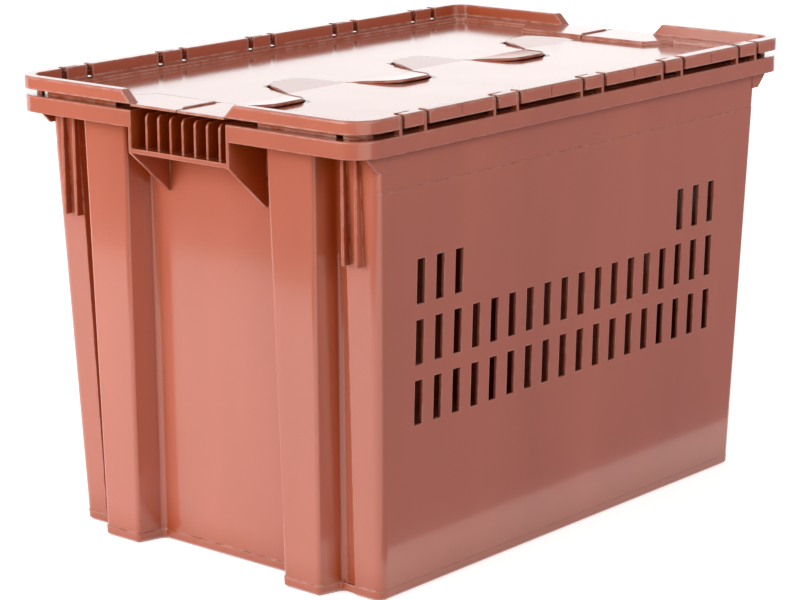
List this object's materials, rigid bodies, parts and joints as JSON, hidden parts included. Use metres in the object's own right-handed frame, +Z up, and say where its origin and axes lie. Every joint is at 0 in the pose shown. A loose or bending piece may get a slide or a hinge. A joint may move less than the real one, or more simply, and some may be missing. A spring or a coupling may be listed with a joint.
{
  "type": "ventilated crate with attached lid",
  "caption": "Tall stack-and-nest transport crate with slotted long walls, ribbed end handles and an attached lid whose leaves open from a wavy middle seam.",
  "frame": {"origin": "middle of the base, on the surface that the crate stands on", "axes": "+X along the long side, +Y towards the far long side, +Z up"},
  "size_m": [0.6, 0.4, 0.4075],
  "materials": {
    "crate_plastic": "gloss",
    "lid_plastic": "gloss",
    "rod_steel": "drawn"
  },
  "bodies": {
    "crate_body": {"crate": "crate_plastic", "hinge_rod_near": "rod_steel", "hinge_rod_far": "rod_steel"},
    "near_leaf": {"lid_leaf_near": "lid_plastic"},
    "far_leaf": {"lid_leaf_far": "lid_plastic"}
  },
  "joints": [
    {"name": "near_leaf_hinge", "type": "hinge", "parent": "crate_body", "child": "near_leaf", "pos_m": [0, -0.1954, 0.4037], "axis": [1, 0, 0], "range_deg": [0, 257]},
    {"name": "far_leaf_hinge", "type": "hinge", "parent": "crate_body", "child": "far_leaf", "pos_m": [0, 0.1954, 0.4037], "axis": [-1, 0, 0], "range_deg": [0, 257]}
  ]
}
